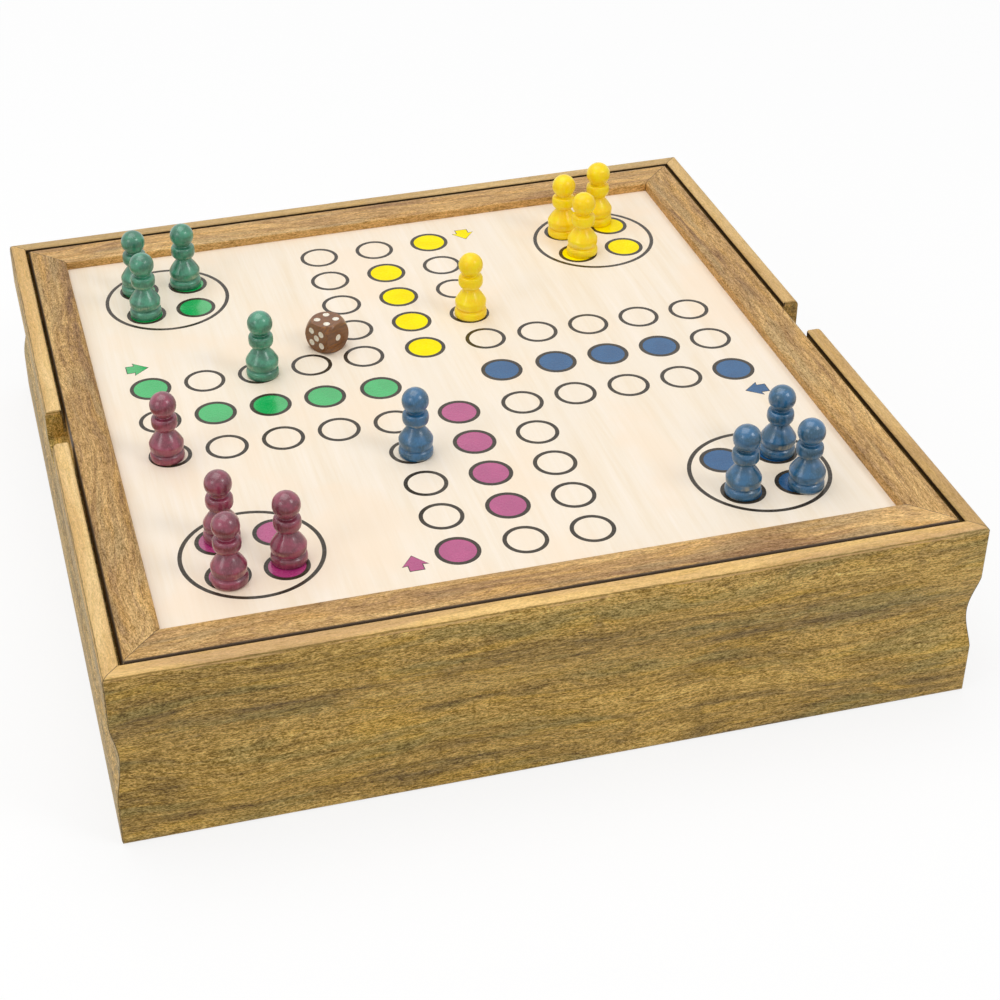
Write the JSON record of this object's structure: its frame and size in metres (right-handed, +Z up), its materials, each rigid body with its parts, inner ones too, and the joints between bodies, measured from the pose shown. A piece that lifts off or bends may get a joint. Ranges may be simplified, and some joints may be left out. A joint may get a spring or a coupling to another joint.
{
  "type": "board game box",
  "caption": "Square wooden game box with ogee-moulded walls, a lift-out framed ludo board in its top, inner dividers, turned pawns and a die.",
  "frame": {"origin": "middle of the box's underside, on the table", "axes": "+Z up, -Y towards the player in front, +X to that player's right"},
  "size_m": [0.3, 0.3, 0.094],
  "materials": {
    "wall_wood": "olive-brown stained hardwood, oiled, open grain",
    "frame_wood": "grey-brown stained hardwood, oiled, open grain",
    "bare_plywood": "unfinished birch plywood",
    "printed_plywood": "pale sanded birch plywood with a printed ludo track",
    "green_paint": "satin paint on turned wood",
    "yellow_paint": "satin paint on turned wood",
    "blue_paint": "satin paint on turned wood",
    "red_paint": "satin burgundy paint on turned wood",
    "dark_wood": "polished dark wood with white pips"
  },
  "bodies": {
    "box": {"front_wall": "wall_wood", "back_wall": "wall_wood", "left_wall": "wall_wood", "right_wall": "wall_wood", "base_panel": "bare_plywood", "long_divider": "bare_plywood", "cross_divider": "bare_plywood"},
    "board": {"board_front_rail": "frame_wood", "board_back_rail": "frame_wood", "board_left_rail": "frame_wood", "board_right_rail": "frame_wood", "board_panel": "printed_plywood"},
    "green_pawn_1_piece": {"green_pawn_1": "green_paint"},
    "green_pawn_2_piece": {"green_pawn_2": "green_paint"},
    "green_pawn_3_piece": {"green_pawn_3": "green_paint"},
    "green_pawn_4_piece": {"green_pawn_4": "green_paint"},
    "yellow_pawn_1_piece": {"yellow_pawn_1": "yellow_paint"},
    "yellow_pawn_2_piece": {"yellow_pawn_2": "yellow_paint"},
    "yellow_pawn_3_piece": {"yellow_pawn_3": "yellow_paint"},
    "yellow_pawn_4_piece": {"yellow_pawn_4": "yellow_paint"},
    "blue_pawn_1_piece": {"blue_pawn_1": "blue_paint"},
    "blue_pawn_2_piece": {"blue_pawn_2": "blue_paint"},
    "blue_pawn_3_piece": {"blue_pawn_3": "blue_paint"},
    "blue_pawn_4_piece": {"blue_pawn_4": "blue_paint"},
    "red_pawn_1_piece": {"red_pawn_1": "red_paint"},
    "red_pawn_2_piece": {"red_pawn_2": "red_paint"},
    "red_pawn_3_piece": {"red_pawn_3": "red_paint"},
    "red_pawn_4_piece": {"red_pawn_4": "red_paint"},
    "die_piece": {"die": "dark_wood"}
  },
  "joints": [
    {"name": "board_lift", "type": "slide", "parent": "box", "child": "board", "axis": [0, 0, 1], "range_m": [0, 0.12]},
    {"name": "green_pawn_1_lift", "type": "slide", "parent": "board", "child": "green_pawn_1_piece", "axis": [0, 0, 1], "range_m": [0, 0.05]},
    {"name": "green_pawn_2_lift", "type": "slide", "parent": "board", "child": "green_pawn_2_piece", "axis": [0, 0, 1], "range_m": [0, 0.05]},
    {"name": "green_pawn_3_lift", "type": "slide", "parent": "board", "child": "green_pawn_3_piece", "axis": [0, 0, 1], "range_m": [0, 0.05]},
    {"name": "green_pawn_4_lift", "type": "slide", "parent": "board", "child": "green_pawn_4_piece", "axis": [0, 0, 1], "range_m": [0, 0.05]},
    {"name": "yellow_pawn_1_lift", "type": "slide", "parent": "board", "child": "yellow_pawn_1_piece", "axis": [0, 0, 1], "range_m": [0, 0.05]},
    {"name": "yellow_pawn_2_lift", "type": "slide", "parent": "board", "child": "yellow_pawn_2_piece", "axis": [0, 0, 1], "range_m": [0, 0.05]},
    {"name": "yellow_pawn_3_lift", "type": "slide", "parent": "board", "child": "yellow_pawn_3_piece", "axis": [0, 0, 1], "range_m": [0, 0.05]},
    {"name": "yellow_pawn_4_lift", "type": "slide", "parent": "board", "child": "yellow_pawn_4_piece", "axis": [0, 0, 1], "range_m": [0, 0.05]},
    {"name": "blue_pawn_1_lift", "type": "slide", "parent": "board", "child": "blue_pawn_1_piece", "axis": [0, 0, 1], "range_m": [0, 0.05]},
    {"name": "blue_pawn_2_lift", "type": "slide", "parent": "board", "child": "blue_pawn_2_piece", "axis": [0, 0, 1], "range_m": [0, 0.05]},
    {"name": "blue_pawn_3_lift", "type": "slide", "parent": "board", "child": "blue_pawn_3_piece", "axis": [0, 0, 1], "range_m": [0, 0.05]},
    {"name": "blue_pawn_4_lift", "type": "slide", "parent": "board", "child": "blue_pawn_4_piece", "axis": [0, 0, 1], "range_m": [0, 0.05]},
    {"name": "red_pawn_1_lift", "type": "slide", "parent": "board", "child": "red_pawn_1_piece", "axis": [0, 0, 1], "range_m": [0, 0.05]},
    {"name": "red_pawn_2_lift", "type": "slide", "parent": "board", "child": "red_pawn_2_piece", "axis": [0, 0, 1], "range_m": [0, 0.05]},
    {"name": "red_pawn_3_lift", "type": "slide", "parent": "board", "child": "red_pawn_3_piece", "axis": [0, 0, 1], "range_m": [0, 0.05]},
    {"name": "red_pawn_4_lift", "type": "slide", "parent": "board", "child": "red_pawn_4_piece", "axis": [0, 0, 1], "range_m": [0, 0.05]},
    {"name": "die_lift", "type": "slide", "parent": "board", "child": "die_piece", "axis": [0, 0, 1], "range_m": [0, 0.05]}
  ]
}
